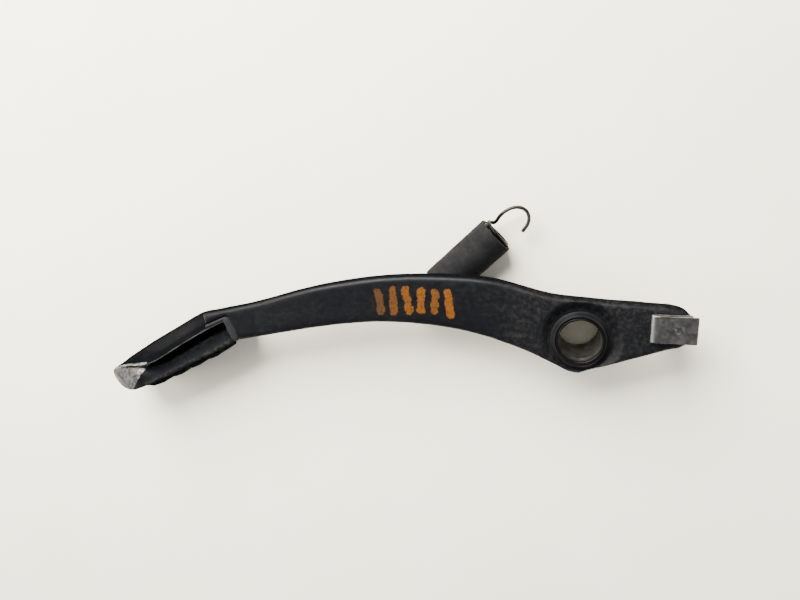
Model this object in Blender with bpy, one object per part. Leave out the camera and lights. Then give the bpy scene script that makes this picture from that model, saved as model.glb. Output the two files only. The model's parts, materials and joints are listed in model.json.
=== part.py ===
"""Rear brake pedal of a motorcycle, lying on its side.

X runs along the lever: the foot pad is at -X, the rod eye at +X.
Z is the pivot axis. The origin is on that axis, level with the lower end of the boss.
"""
import math

import bmesh
import bpy
from mathutils import Matrix, Vector

MM = 0.001
GAP = 0.3 * MM

# Lever arm
ARM_BOTTOM = 18.3 * MM
ARM_TOP = 27.3 * MM
ARM_EDGE_ROUND = 2.2 * MM
ARM_EYE_ROUND = 14.7 * MM
ARM_END = Vector((36.1 * MM, 7.1 * MM, 0))
ARM_END_ROUND = 8.9 * MM
ARM_TOP_EDGE = [(-161, 5.7), (-143, 10.2), (-120, 17.2), (-97, 22.2), (-75, 24.9), (-53, 25.4),
                (-38, 24.6), (-25, 21.7), (-12, 18.7), (8, 17.3), (24, 16.7)]
ARM_LOWER_EDGE = [(-16.4, -8.4), (-26.4, -4.5), (-40, -0.4), (-55, 2.4), (-72, 3.6), (-90, 3.2),
                  (-110, 0.5), (-135, -4.6)]

# Pivot
BOSS_LENGTH = 24.4 * MM
BOSS_RADIUS = 13.0 * MM
BOSS_BORE = 11.3 * MM
SINK_DEPTH = 3.0 * MM
SEAL_SEAT_RADIUS = 12.1 * MM
BACK_SEAT_DEPTH = 2.8 * MM
FRONT_SEAT_DEPTH = 1.6 * MM
COLLAR_LENGTH = 28.0 * MM
COLLAR_RADIUS = 9.9 * MM
COLLAR_BORE = 9.0 * MM
BUSH_LENGTH = 9.5 * MM
BUSH_BORE = 10.2 * MM
SEAL_HEIGHT = 2.2 * MM
CONE_SEAL_RADIUS = 12.4 * MM
CONE_SEAL_TOP = 27.4 * MM
CONE_SEAL_TIP = 10.9 * MM
BOSS_WELD_SIZE = 2.6 * MM
BOSS_WELD_START = math.radians(-28)
BOSS_WELD_END = math.radians(208)

# Rod eye, its pin and clip
ROD_EYE = Vector((36.4 * MM, 7.6 * MM, 0))
PIN_RADIUS = 4.0 * MM
PIN_GROOVE_RADIUS = 3.1 * MM
PIN_HEAD_RADIUS = 5.8 * MM
PIN_HEAD_BOTTOM = 6.0 * MM
PIN_HEAD_HEIGHT = 1.8 * MM
PIN_TOP = 29.4 * MM
CLIP_SHEET = 0.9 * MM
CLIP_WIDTH = 11.3 * MM
CLIP_RISE = 2.8 * MM
CLIP_FOLD_REACH = 2.6 * MM
CLIP_LEFT = 27.5 * MM
CLIP_RIGHT = 45.2 * MM
CLIP_LEAF_END = 43.4 * MM

# Return spring, its post and sleeve
POST = Vector((-68.6 * MM, 11.4 * MM, 0))
POST_RADIUS = 2.8 * MM
POST_SPIGOT = 2.0 * MM
POST_SPIGOT_TOP = 23.5 * MM
POST_FLANGE = 4.6 * MM
POST_TAIL = 1.7 * MM
WASHER_RADIUS = 5.2 * MM
SPRING_ANGLE = math.radians(44)
SPRING_HEIGHT = 8.9 * MM
SPRING_RADIUS = 6.3 * MM
SPRING_WIRE = 0.8 * MM
SPRING_START = 12.5 * MM
SPRING_END = 44.9 * MM
SPRING_TURNS = 16 + 5 / 6
POST_HOOK_RADIUS = 4.2 * MM
# along the spring's line and to its left
FREE_HOOK = [(52.0, 5.0), (54.8, 4.5), (57.4, 3.3), (59.3, 1.2), (59.9, -1.4), (58.8, -4.1),
             (56.3, -5.9), (52.5, -6.7)]
SLEEVE_BORE = 7.6 * MM
SLEEVE_RADIUS = 8.75 * MM
SLEEVE_START = 9.0 * MM
SLEEVE_END = 43.4 * MM

# Foot pad: its root is welded to the arm's end, and it runs from there to the toe
PAD_ROOT = Vector((-159.5 * MM, 1.5 * MM, 0))
PAD_ANGLE = math.radians(204.8)
PAD_FLOOR = 1.2 * MM
PAD_RIM = 27.0 * MM
PAD_TOE = 71.8 * MM
TOE_ROUND = 15.0 * MM
TOE_RIM_DROP = 4.0 * MM
TOE_CORE = -3.8 * MM
TOE_UPPER_ROUND = 5.0 * MM
TOE_LOWER_ROUND = 12.0 * MM
DISH_DEPTH = 13.0 * MM
# across the dish from the lower rim to the upper wall: share of its width, share of its depth
DISH_PROFILE = [(0, 0), (0.2, 0.06), (0.4, 0.17), (0.6, 0.36), (0.8, 0.7), (0.94, 1), (1, 0.55)]
# along the pad: rim of the upper wall, widest point of the upper wall, lower wall
PAD_STATIONS = [(0.4, -0.4, 0.4, -11.6), (10, -0.7, 4.2, -12.3), (19, -1.5, 6.5, -12.8),
                (27, -2.4, 6.2, -13.3), (36, -3.7, 5.2, -13.8), (45, -4.6, 4.3, -14.2),
                (52, -3.6, 3.6, -14.4), (60, -0.8, 2.4, -14.2), (66, -0.2, 1.4, -13.9),
                (PAD_TOE / MM, -0.2, 0.5, -13.2)]
TOOTH_PITCH = 10.6 * MM
TOOTH_LENGTH = 8.6 * MM
TOE_TOOTH_LENGTH = 13.0 * MM
TOOTH_HEIGHT = 2.3 * MM
TOOTH_COUNT = 4
FIRST_TOOTH = 12.4 * MM
TOOTH_LOW = 4.0 * MM
TOOTH_HIGH = 25.0 * MM
TONGUE_LENGTH = 11.3 * MM
TONGUE_LIFT = 0.7 * MM
TONGUE_TIP = (10.0, 6.6)
PAD_WELD_RADIUS = 1.5 * MM

ROUND_SIDES = 48


def clear_scene():
    for item in list(bpy.data.objects):
        bpy.data.objects.remove(item, do_unlink=True)


def material(name, colour, roughness, metallic):
    made = bpy.data.materials.new(name)
    made.use_nodes = True
    shader = made.node_tree.nodes["Principled BSDF"]
    shader.inputs["Base Color"].default_value = (*colour, 1)
    shader.inputs["Roughness"].default_value = roughness
    shader.inputs["Metallic"].default_value = metallic
    return made


def finish_mesh(name, bm, look, sharp=math.radians(35)):
    """Turn a bmesh into a named, smooth-shaded object with its own material."""
    bmesh.ops.recalc_face_normals(bm, faces=bm.faces)
    mesh = bpy.data.meshes.new(name)
    bm.to_mesh(mesh)
    bm.free()
    mesh.shade_smooth()
    mesh.set_sharp_from_angle(angle=sharp)
    made = bpy.data.objects.new(name, mesh)
    bpy.context.scene.collection.objects.link(made)
    if look is not None:
        mesh.materials.append(material(name, *look))
    return made


def smooth_curve(points, steps):
    """Points of a Catmull-Rom curve through the given points, ends included."""
    points = [Vector(point) for point in points]
    padded = [2 * points[0] - points[1], *points, 2 * points[-1] - points[-2]]
    curve = []
    for i in range(1, len(padded) - 2):
        before, start, end, after = padded[i - 1:i + 3]
        for step in range(steps):
            t = step / steps
            curve.append(0.5 * (2 * start + (end - before) * t
                                + (2 * before - 5 * start + 4 * end - after) * t ** 2
                                + (3 * start - before - 3 * end + after) * t ** 3))
    curve.append(points[-1])
    return curve


def arc(centre, radius, start, end, steps):
    """Points on a circle about centre, from one angle to another."""
    turns = [start + (end - start) * i / steps for i in range(steps + 1)]
    return [Vector((centre[0] + radius * math.cos(a), centre[1] + radius * math.sin(a)))
            for a in turns]


def prism(name, outline, low, high, look=None):
    """Extrude a closed outline from one height to another."""
    bm = bmesh.new()
    rim = [bm.verts.new((point[0], point[1], low)) for point in outline]
    face = bm.faces.new(rim)
    grown = bmesh.ops.extrude_face_region(bm, geom=[face])
    top = [item for item in grown["geom"] if isinstance(item, bmesh.types.BMVert)]
    bmesh.ops.translate(bm, verts=top, vec=(0, 0, high - low))
    return finish_mesh(name, bm, look)


def turned(name, profile, look=None, sides=ROUND_SIDES, start=0.0, end=2 * math.pi):
    """Turn a closed profile of (radius, height) about Z, all round or over an arc.

    Profile points on the axis become single points, so a solid bar has closed ends.
    """
    bm = bmesh.new()
    whole = end - start > 2 * math.pi - 1e-6
    rows = sides if whole else sides + 1
    poles = {}
    rings = []
    for i in range(rows):
        angle = start + (end - start) * i / sides
        ring = []
        for k, (radius, height) in enumerate(profile):
            if radius == 0:
                if k not in poles:
                    poles[k] = bm.verts.new((0, 0, height))
                ring.append(poles[k])
            else:
                ring.append(bm.verts.new((radius * math.cos(angle), radius * math.sin(angle), height)))
        rings.append(ring)
    for i in range(sides):
        here, there = rings[i], rings[(i + 1) % rows]
        for k in range(len(profile)):
            k2 = (k + 1) % len(profile)
            corners = list(dict.fromkeys([here[k], there[k], there[k2], here[k2]]))
            if len(corners) > 2:
                bm.faces.new(corners)
    if not whole:
        bm.faces.new(rings[0])
        bm.faces.new(rings[-1])
    return finish_mesh(name, bm, look)


def tube(name, bore, radius, low, high, look=None, chamfer=0.3 * MM):
    """A plain round tube with chamfered ends."""
    profile = [(bore, low), (radius - chamfer, low), (radius, low + chamfer),
               (radius, high - chamfer), (radius - chamfer, high), (bore, high)]
    return turned(name, profile, look)


def loft(name, sections, look=None):
    """Skin a row of closed sections that have the same number of points."""
    bm = bmesh.new()
    rings = [[bm.verts.new(point) for point in section] for section in sections]
    count = len(sections[0])
    for here, there in zip(rings, rings[1:]):
        for k in range(count):
            bm.faces.new([here[k], there[k], there[(k + 1) % count], here[(k + 1) % count]])
    bm.faces.new(rings[0])
    bm.faces.new(rings[-1])
    return finish_mesh(name, bm, look)


def cut(piece, tool, operation="DIFFERENCE"):
    """Cut or join a piece with a hidden tool object."""
    tool.hide_render = True
    tool.display_type = "WIRE"
    change = piece.modifiers.new(tool.name, "BOOLEAN")
    change.operation = operation
    change.solver = "EXACT"
    change.object = tool


def round_rims(piece, width, segments):
    """Round the edges of a prism's two flat faces, and leave its upright edges alone."""
    mesh = piece.data
    weights = mesh.attributes.new("bevel_weight_edge", "FLOAT", "EDGE")
    for edge in mesh.edges:
        start, end = (mesh.vertices[i].co.z for i in edge.vertices)
        weights.data[edge.index].value = float(start == end)
    change = piece.modifiers.new("round_rims", "BEVEL")
    change.width = width
    change.segments = segments
    change.limit_method = "WEIGHT"


def pad_point(along, across, height=0.0):
    """World point from the pad's own directions: root to toe, and across it."""
    forward = Vector((math.cos(PAD_ANGLE), math.sin(PAD_ANGLE), 0))
    sideways = Vector((forward.y, -forward.x, 0))
    return PAD_ROOT + forward * along + sideways * across + Vector((0, 0, height))


# ---------------------------------------------------------------- lever arm

def arm_outline():
    """Closed outline: top edge, rod eye, lower edge, pivot eye, and the tongue on the pad."""
    end_line = ARM_END.to_2d()
    slope = math.atan2(end_line.y, end_line.x)
    tangent = slope - math.acos((ARM_END_ROUND - ARM_EYE_ROUND) / end_line.length)
    top_edge = [Vector(point) * MM for point in ARM_TOP_EDGE]
    top_edge.append(Vector((ARM_END.x, ARM_END.y + ARM_END_ROUND)))
    tongue_top = pad_point(TONGUE_TIP[0] * MM, TONGUE_TIP[1] * MM).to_2d()
    outline = smooth_curve([tongue_top, *top_edge], 4)
    outline += arc(ARM_END, ARM_END_ROUND, math.radians(90), tangent, 14)[1:]
    outline += arc((0, 0), ARM_EYE_ROUND, tangent, math.radians(-125), 6)
    lower_edge = [Vector(point) * MM for point in ARM_LOWER_EDGE]
    outline += smooth_curve([outline[-1], *lower_edge, pad_point(0, -11.4 * MM).to_2d()], 4)[1:]
    outline.append(pad_point(0, TONGUE_LIFT).to_2d())
    outline.append(pad_point(TONGUE_LENGTH, TONGUE_LIFT).to_2d())
    return outline


def make_arm():
    look = ((0.018, 0.019, 0.022), 0.42, 0.0)
    arm = prism("pedal_arm", arm_outline(), ARM_BOTTOM, ARM_TOP, look)
    round_rims(arm, ARM_EDGE_ROUND, 4)
    for name, centre, radius in (("pivot_eye_cut", (0, 0), BOSS_RADIUS + GAP),
                                 ("rod_eye_cut", ROD_EYE, PIN_RADIUS + GAP)):
        tool = prism(name, arc(centre, radius, 0, 2 * math.pi, ROUND_SIDES)[:-1],
                     ARM_BOTTOM - 5 * MM, ARM_TOP + 5 * MM)
        cut(arm, tool)
    post_hole = arc(POST, POST_SPIGOT + GAP, 0, 2 * math.pi, 24)[:-1]
    cut(arm, prism("post_hole_cut", post_hole, ARM_BOTTOM - 5 * MM, POST_SPIGOT_TOP + GAP))
    sink = [(0, ARM_TOP - SINK_DEPTH), (BOSS_RADIUS + GAP, ARM_TOP - SINK_DEPTH),
            (BOSS_RADIUS + GAP + SINK_DEPTH + 1 * MM, ARM_TOP + 1 * MM), (0, ARM_TOP + 1 * MM)]
    cut(arm, turned("pivot_sink_cut", sink))
    cut(arm, pad_weld_groove("arm_weld_groove"))
    return arm


# ---------------------------------------------------------------- pivot

def make_boss():
    """Tube welded into the arm, with a wider seat for a seal at each end."""
    front_seat = BOSS_LENGTH - FRONT_SEAT_DEPTH
    rim = 0.4 * MM
    profile = [(SEAL_SEAT_RADIUS, 0), (BOSS_RADIUS - rim, 0), (BOSS_RADIUS, rim),
               (BOSS_RADIUS, BOSS_LENGTH - rim), (BOSS_RADIUS - rim, BOSS_LENGTH),
               (SEAL_SEAT_RADIUS, BOSS_LENGTH), (SEAL_SEAT_RADIUS, front_seat), (BOSS_BORE, front_seat),
               (BOSS_BORE, BACK_SEAT_DEPTH), (SEAL_SEAT_RADIUS, BACK_SEAT_DEPTH)]
    return turned("pivot_boss", profile, ((0.018, 0.019, 0.022), 0.45, 0.0))


def make_boss_weld():
    """Fillet bead in the corner of the boss and the back of the arm, open on the narrow side."""
    inner = BOSS_RADIUS + GAP
    top = ARM_BOTTOM - GAP
    size = BOSS_WELD_SIZE
    profile = [(inner, top), (inner + size, top), (inner + 0.8 * size, top - 0.45 * size),
               (inner + 0.45 * size, top - 0.8 * size), (inner, top - size)]
    return turned("boss_weld", profile, ((0.022, 0.022, 0.024), 0.5, 0.0), 40,
                  BOSS_WELD_START, BOSS_WELD_END)


def make_collar():
    return tube("pivot_collar", COLLAR_BORE, COLLAR_RADIUS, 0, COLLAR_LENGTH, ((0.16, 0.155, 0.13), 0.4, 0.9))


def make_bush(name, low):
    return tube(name, BUSH_BORE, BOSS_BORE - GAP, low, low + BUSH_LENGTH, ((0.3, 0.24, 0.14), 0.4, 0.9))


def make_seals():
    """A flat seal in the back seat; the front one stands up as a cone against the collar."""
    look = ((0.02, 0.02, 0.021), 0.6, 0.0)
    outside = SEAL_SEAT_RADIUS - GAP
    high = BACK_SEAT_DEPTH - GAP
    low = high - SEAL_HEIGHT
    lip = low + 0.7 * MM
    turned("seal_back", [(BUSH_BORE, lip), (outside - 1.0 * MM, lip), (outside - 0.6 * MM, low),
                         (outside, low), (outside, high), (BUSH_BORE, high)], look)
    seat = BOSS_LENGTH - FRONT_SEAT_DEPTH + GAP
    skirt = BOSS_LENGTH + GAP
    turned("seal_front", [(BUSH_BORE, seat), (outside, seat), (outside, skirt), (CONE_SEAL_RADIUS, skirt),
                          (CONE_SEAL_RADIUS - 0.2 * MM, skirt + 0.5 * MM), (CONE_SEAL_TIP, CONE_SEAL_TOP),
                          (BUSH_BORE, CONE_SEAL_TOP)], look)


# ---------------------------------------------------------------- rod eye

def make_pin():
    """Clevis pin: a head below, a groove for the clip above the arm."""
    head_top = PIN_HEAD_BOTTOM + PIN_HEAD_HEIGHT
    groove_low = ARM_TOP
    groove_high = ARM_TOP + CLIP_SHEET + 2 * GAP
    edge = 0.4 * MM
    profile = [(0, PIN_HEAD_BOTTOM), (PIN_HEAD_RADIUS - edge, PIN_HEAD_BOTTOM),
               (PIN_HEAD_RADIUS, PIN_HEAD_BOTTOM + edge), (PIN_HEAD_RADIUS, head_top),
               (PIN_RADIUS, head_top), (PIN_RADIUS, groove_low), (PIN_GROOVE_RADIUS, groove_low),
               (PIN_GROOVE_RADIUS, groove_high), (PIN_RADIUS, groove_high),
               (PIN_RADIUS, PIN_TOP - edge), (PIN_RADIUS - edge, PIN_TOP), (0, PIN_TOP)]
    pin = turned("rod_pin", profile, ((0.35, 0.34, 0.31), 0.35, 1.0), 32)
    pin.location = ROD_EYE
    return pin


def make_clip():
    """Folded strip: a slotted leaf in the pin's groove, a fold, and a cover plate above it."""
    leaf_middle = ARM_TOP + GAP + CLIP_SHEET / 2
    fold = Vector((CLIP_LEFT + CLIP_FOLD_REACH, leaf_middle + CLIP_RISE / 2))
    bend = [math.radians(270 - 18 * i) for i in range(11)]
    path = [Vector((CLIP_LEAF_END, leaf_middle))]
    path += [fold + Vector((CLIP_FOLD_REACH * math.cos(a), CLIP_RISE / 2 * math.sin(a))) for a in bend]
    path.append(Vector((CLIP_RIGHT, leaf_middle + CLIP_RISE)))
    outer, inner = [], []
    for i, point in enumerate(path):
        direction = (path[min(i + 1, len(path) - 1)] - path[max(i - 1, 0)]).normalized()
        side = Vector((-direction.y, direction.x)) * CLIP_SHEET / 2
        outer.append(point - side)
        inner.append(point + side)
    clip = prism("retaining_clip", outer + inner[::-1], -CLIP_WIDTH / 2, CLIP_WIDTH / 2,
                 ((0.42, 0.41, 0.39), 0.3, 1.0))
    clip.data.transform(Matrix.Rotation(math.radians(90), 4, "X"))
    clip.location = (0, ROD_EYE.y, 0)
    half_slot = PIN_GROOVE_RADIUS + GAP
    slot = arc(ROD_EYE, half_slot, math.radians(90), math.radians(270), 12)
    slot += [Vector((ROD_EYE.x + 15 * MM, ROD_EYE.y - half_slot)),
             Vector((ROD_EYE.x + 15 * MM, ROD_EYE.y + half_slot))]
    cut(clip, prism("clip_slot_cut", slot, ARM_TOP, leaf_middle + CLIP_SHEET))
    return clip


# ---------------------------------------------------------------- foot pad

def pad_widths(along):
    """Across-the-pad places of the rim, the upper wall and the lower wall, from the stations."""
    rows = [Vector(row) * MM for row in PAD_STATIONS]
    for low, high in zip(rows, rows[1:]):
        if along <= high[0]:
            break
    share = (along - low[0]) / (high[0] - low[0])
    return low.lerp(high, share)[1:]


def toe_closing(along, length):
    """From 1 where the toe's rounding starts to nearly 0 at its end, as a quarter of an ellipse."""
    share = max(0.0, (along - (PAD_TOE - length)) / length)
    return math.sqrt(max(1 - share ** 2, 0.02))


def dish_depth(along):
    """Depth of the dish: it starts in a short step near the root and fades out towards the toe."""
    start, full = 1.3 * MM, 3.1 * MM
    fade, end = 36 * MM, 63 * MM
    rise = min(1.0, max(0.0, (along - start) / (full - start)))
    fall = min(1.0, max(0.0, (along - fade) / (end - fade)))
    return DISH_DEPTH * rise * (1 - fall * fall * (3 - 2 * fall))


def pad_section(along):
    """One closed section: down the upper wall, under the floor, up the tread, and back over the dish."""
    edge, wall, lower = pad_widths(along)
    toe = max(0.0, (along - (PAD_TOE - TOE_ROUND)) / TOE_ROUND)
    upper_closing = toe_closing(along, TOE_UPPER_ROUND)
    lower_closing = toe_closing(along, TOE_LOWER_ROUND)
    low = PAD_FLOOR + (1 - lower_closing) * 9 * MM
    high = PAD_RIM - TOE_RIM_DROP * toe ** 2 - (1 - lower_closing) * 1.5 * MM
    edge, wall = (TOE_CORE + (place - TOE_CORE) * upper_closing for place in (edge, wall))
    lower = TOE_CORE + (lower - TOE_CORE) * lower_closing
    width, depth = wall - lower, high - low
    shape = [(edge, high - 0.4 * MM), (edge + 0.3 * (wall - edge), low + 0.66 * depth),
             (edge + 0.8 * (wall - edge), low + 0.4 * depth), (wall, low + 0.23 * depth),
             (wall - 0.05 * width, low + 0.09 * depth), (wall - 0.19 * width, low + 0.015 * depth),
             (wall - 0.5 * width, low), (lower + 0.25 * width, low + 0.025 * depth),
             (lower + 0.09 * width, low + 0.11 * depth), (lower + 0.01 * width, low + 0.27 * depth),
             (lower, low + 0.5 * depth), (lower, high - 1.3 * MM),
             (lower + 0.4 * MM * lower_closing, high - 0.3 * MM)]
    near = lower + 1.1 * MM * lower_closing
    far = edge - 1.0 * MM * upper_closing
    shape += [(near + share * (far - near), high - drop * dish_depth(along)) for share, drop in DISH_PROFILE]
    shape.append((edge - 0.5 * MM * upper_closing, high))
    return [pad_point(along, across, height) for across, height in shape]


def make_pad():
    """Foot pad dished towards +Z, with saw teeth across the tread on its lower side."""
    heel = [0.4 * MM, 1.3 * MM, 2.2 * MM]
    straight = [3.1 * MM + i * (PAD_TOE - TOE_ROUND - 3.1 * MM) / 14 for i in range(15)]
    rounded = [PAD_TOE - TOE_ROUND * (1 - math.sin(math.radians(9 * i))) for i in range(1, 11)]
    sections = [pad_section(along) for along in heel + straight + rounded]
    pad = loft("pad_shell", sections, ((0.02, 0.021, 0.024), 0.45, 0.0))

    for i in range(TOOTH_COUNT):
        length = TOOTH_LENGTH if i < TOOTH_COUNT - 1 else TOE_TOOTH_LENGTH
        low = FIRST_TOOTH + i * TOOTH_PITCH
        high = low + length
        tread = [pad_widths(place)[2] for place in (low, high)]
        tooth = [pad_point(low, tread[0] + 0.8 * MM), pad_point(low, tread[0] - 0.7 * TOOTH_HEIGHT),
                 pad_point(low + 0.12 * length, tread[0] - TOOTH_HEIGHT),
                 pad_point(low + 0.6 * length, tread[1] - 0.75 * TOOTH_HEIGHT),
                 pad_point(high, tread[1] + 0.8 * MM)]
        cut(pad, prism(f"tooth_{i + 1}", tooth, TOOTH_LOW, TOOTH_HIGH), "UNION")

    tongue_room = [pad_point(-2 * MM, TONGUE_LIFT - GAP), pad_point(TONGUE_LENGTH + GAP, TONGUE_LIFT - GAP),
                   pad_point(TONGUE_TIP[0] * MM + GAP, 9 * MM), pad_point(-2 * MM, 9 * MM)]
    cut(pad, prism("tongue_room_cut", tongue_room, ARM_BOTTOM - GAP, ARM_TOP + 5 * MM))
    cut(pad, pad_weld_groove("pad_weld_groove"))
    return pad


def weld_bar(name, radius, height, start, end, look=None):
    """Round bar along the joint of the arm's end and the pad's root."""
    centre = (pad_point(0.2 * MM, start, height) + pad_point(0.2 * MM, end, height)) / 2
    length = abs(end - start)
    bar = turned(name, [(0, -length / 2), (radius, -length / 2), (radius, length / 2), (0, length / 2)],
                 look, 16)
    across = (pad_point(0, 1) - pad_point(0, 0)).normalized()
    bar.data.transform(Vector((0, 0, 1)).rotation_difference(across).to_matrix().to_4x4())
    bar.location = centre
    return bar


def pad_weld_groove(name):
    """Room for the front bead, cut from the arm and from the pad."""
    return weld_bar(name, PAD_WELD_RADIUS + GAP, PAD_RIM + 0.1 * MM, -16 * MM, 0.9 * MM)


def make_pad_welds():
    look = ((0.03, 0.03, 0.032), 0.5, 0.0)
    front = weld_bar("pad_weld_front", PAD_WELD_RADIUS, PAD_RIM + 0.1 * MM, -10.6 * MM, 0.3 * MM, look)
    leg = 2.4 * MM
    low = ARM_BOTTOM - GAP
    corner = pad_point(0.4 * MM - GAP, -10.4 * MM, low)
    bm = bmesh.new()
    section = [(0, 0), (-leg, 0), (-0.75 * leg, -0.5 * leg), (-0.4 * leg, -0.8 * leg), (0, -leg)]
    rim = [bm.verts.new((along, 0, height)) for along, height in section]
    face = bm.faces.new(rim)
    grown = bmesh.ops.extrude_face_region(bm, geom=[face])
    far = [item for item in grown["geom"] if isinstance(item, bmesh.types.BMVert)]
    bmesh.ops.translate(bm, verts=far, vec=(0, -14.5 * MM, 0))
    back = finish_mesh("pad_weld_back", bm, look)
    back.data.transform(Matrix.Rotation(PAD_ANGLE, 4, "Z"))
    back.location = corner
    return front, back


# ---------------------------------------------------------------- return spring

def make_post():
    """Stud pressed into the back of the arm; its riveted end holds the washer."""
    flange_top = ARM_BOTTOM - GAP
    profile = [(0, 2.8 * MM), (2.3 * MM, 2.8 * MM), (2.7 * MM, 3.2 * MM), (2.7 * MM, 3.6 * MM),
               (POST_TAIL, 3.6 * MM), (POST_TAIL, 5.9 * MM), (POST_RADIUS, 5.9 * MM),
               (POST_RADIUS, 16.9 * MM), (POST_FLANGE, 16.9 * MM), (POST_FLANGE, flange_top),
               (POST_SPIGOT, flange_top), (POST_SPIGOT, POST_SPIGOT_TOP), (0, POST_SPIGOT_TOP)]
    post = turned("spring_post", profile, ((0.03, 0.03, 0.032), 0.45, 0.3), 32)
    post.location = POST
    washer = tube("post_washer", POST_TAIL + GAP, WASHER_RADIUS, 4.0 * MM, 5.5 * MM,
                  ((0.25, 0.24, 0.22), 0.4, 1.0))
    washer.location = POST
    return post, washer


def spring_path():
    """Centre line of the wire: hook round the post, close coil, and an open hook at the free end."""
    steps = 12
    turn = 2 * math.pi
    hook = [Vector((POST_HOOK_RADIUS * math.cos(a), POST_HOOK_RADIUS * math.sin(a), 0))
            for a in (math.radians(-60 - 22 * i) for i in range(10))]
    lead_in = [hook[-1], Vector((2.8, 5.0, -0.6)) * MM, Vector((6.5, 5.6, -2.0)) * MM,
               Vector((10.2, 4.4, -4.3)) * MM]
    coil = []
    total = round(SPRING_TURNS * steps)
    for i in range(total + 1):
        angle = -math.pi / 2 - turn * i / steps
        along = SPRING_START + (SPRING_END - SPRING_START) * i / total
        coil.append(Vector((along, SPRING_RADIUS * math.cos(angle), SPRING_RADIUS * math.sin(angle))))
    return hook, lead_in, coil


def make_spring():
    hook, lead_in, coil = spring_path()
    start = smooth_curve([*lead_in, coil[0]], 4)
    lead_out = [coil[-1], Vector((46.1, 4.3, -3.6)) * MM, Vector((47.6, 4.4, -2.0)) * MM,
                Vector((49.6, 4.9, -0.6)) * MM]
    free = [Vector((along, aside, 0)) * MM for along, aside in FREE_HOOK]
    end = smooth_curve([*lead_out, *free], 3)
    points = hook[:-1] + start[:-1] + coil[:-1] + end
    data = bpy.data.curves.new("return_spring", "CURVE")
    data.dimensions = "3D"
    data.bevel_depth = SPRING_WIRE
    data.bevel_resolution = 1
    data.use_fill_caps = True
    line = data.splines.new("POLY")
    line.points.add(len(points) - 1)
    for knot, point in zip(line.points, points):
        knot.co = (*point, 1)
    data.materials.append(material("return_spring", (0.09, 0.085, 0.075), 0.4, 0.9))
    spring = bpy.data.objects.new("return_spring", data)
    bpy.context.scene.collection.objects.link(spring)
    return spring


def make_sleeve():
    sleeve = tube("spring_sleeve", SLEEVE_BORE, SLEEVE_RADIUS, SLEEVE_START, SLEEVE_END,
                  ((0.045, 0.045, 0.047), 0.75, 0.0))
    sleeve.data.transform(Matrix.Rotation(math.radians(90), 4, "Y"))
    return sleeve


def make_spring_set():
    """Spring and sleeve hang from an empty on the post's axis."""
    axis = bpy.data.objects.new("spring_swing_axis", None)
    bpy.context.scene.collection.objects.link(axis)
    axis.location = POST + Vector((0, 0, SPRING_HEIGHT))
    axis.rotation_euler = (0, 0, SPRING_ANGLE)
    for piece in (make_spring(), make_sleeve()):
        piece.parent = axis


clear_scene()
make_arm()
make_boss()
make_boss_weld()
make_collar()
make_bush("bush_back", BACK_SEAT_DEPTH + GAP)
make_bush("bush_front", BOSS_LENGTH - FRONT_SEAT_DEPTH - GAP - BUSH_LENGTH)
make_seals()
make_pad()
make_pad_welds()
make_post()
make_spring_set()
make_pin()
make_clip()
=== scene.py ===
"""Looks of a motorcycle rear brake pedal lying on a pale bench.

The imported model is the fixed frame. Each piece below replaces one of its nodes with a finer mesh
at the same place, gets a procedural material, and rides on the node's body.
"""
import json
import math

import bmesh
import bpy
import numpy as np
from mathutils import Matrix, Vector, noise


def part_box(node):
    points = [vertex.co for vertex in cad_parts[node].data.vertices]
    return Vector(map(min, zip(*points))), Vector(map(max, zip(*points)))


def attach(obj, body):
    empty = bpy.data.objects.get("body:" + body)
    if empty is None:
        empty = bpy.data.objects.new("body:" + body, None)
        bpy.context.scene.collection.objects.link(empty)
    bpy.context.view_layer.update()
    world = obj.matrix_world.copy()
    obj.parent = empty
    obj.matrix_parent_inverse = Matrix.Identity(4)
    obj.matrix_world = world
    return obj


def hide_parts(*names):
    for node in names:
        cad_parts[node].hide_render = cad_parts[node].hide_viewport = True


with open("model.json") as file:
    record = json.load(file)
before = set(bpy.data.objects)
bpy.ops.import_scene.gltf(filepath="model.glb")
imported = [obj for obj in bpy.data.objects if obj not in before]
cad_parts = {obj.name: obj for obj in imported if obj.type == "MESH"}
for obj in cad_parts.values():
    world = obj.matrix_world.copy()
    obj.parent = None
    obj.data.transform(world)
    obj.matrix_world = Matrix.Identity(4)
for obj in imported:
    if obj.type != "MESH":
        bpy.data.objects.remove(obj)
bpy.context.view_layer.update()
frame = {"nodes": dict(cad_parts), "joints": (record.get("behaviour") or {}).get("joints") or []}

MM = 0.001
TURN = 2 * math.pi

# Camera: above the lever, a little to one side
CAMERA_PLACE = Vector((-17.65, 81.32, 318.43)) * MM
CAMERA_AIM = Vector((-76.95, 14.2, 27.0)) * MM
CAMERA_LENS = 31.5
CAMERA_SENSOR = 36.0

# Lamps: name, place, size, power, colour
LAMPS = [("key", (-0.33, 0.60, 0.52), 0.6, 45.0, (1.0, 0.98, 0.95)),
         ("left", (-0.80, 0.05, 0.42), 0.5, 8.0, (1.0, 0.99, 0.97)),
         ("side", (0.75, -0.20, 0.55), 0.6, 4.0, (0.95, 0.97, 1.0))]
LAMP_AIM = Vector((-0.06, 0.0, 0.02))

# Places that come from the frame
BOSS_LOW, BOSS_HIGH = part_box("pivot_boss")
ARM_LOW, ARM_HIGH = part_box("pedal_arm")
JOINTS = {joint["name"]: joint for joint in frame["joints"]}
POST = Vector(JOINTS["spring_swing"]["pos_m"])
SPRING_LINE = Vector(JOINTS["sleeve_slide"]["axis"]).normalized()
ROD_EYE = Vector(JOINTS["pin_turn"]["pos_m"])


# ---------------------------------------------------------------- meshes

def smoothstep(value, low, high):
    share = np.clip((value - low) / (high - low), 0.0, 1.0)
    return share * share * (3 - 2 * share)


def bell(distance, width):
    """1 where the distance is 0, fading out over about this width."""
    return np.exp(-(distance / width) ** 2)


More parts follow.
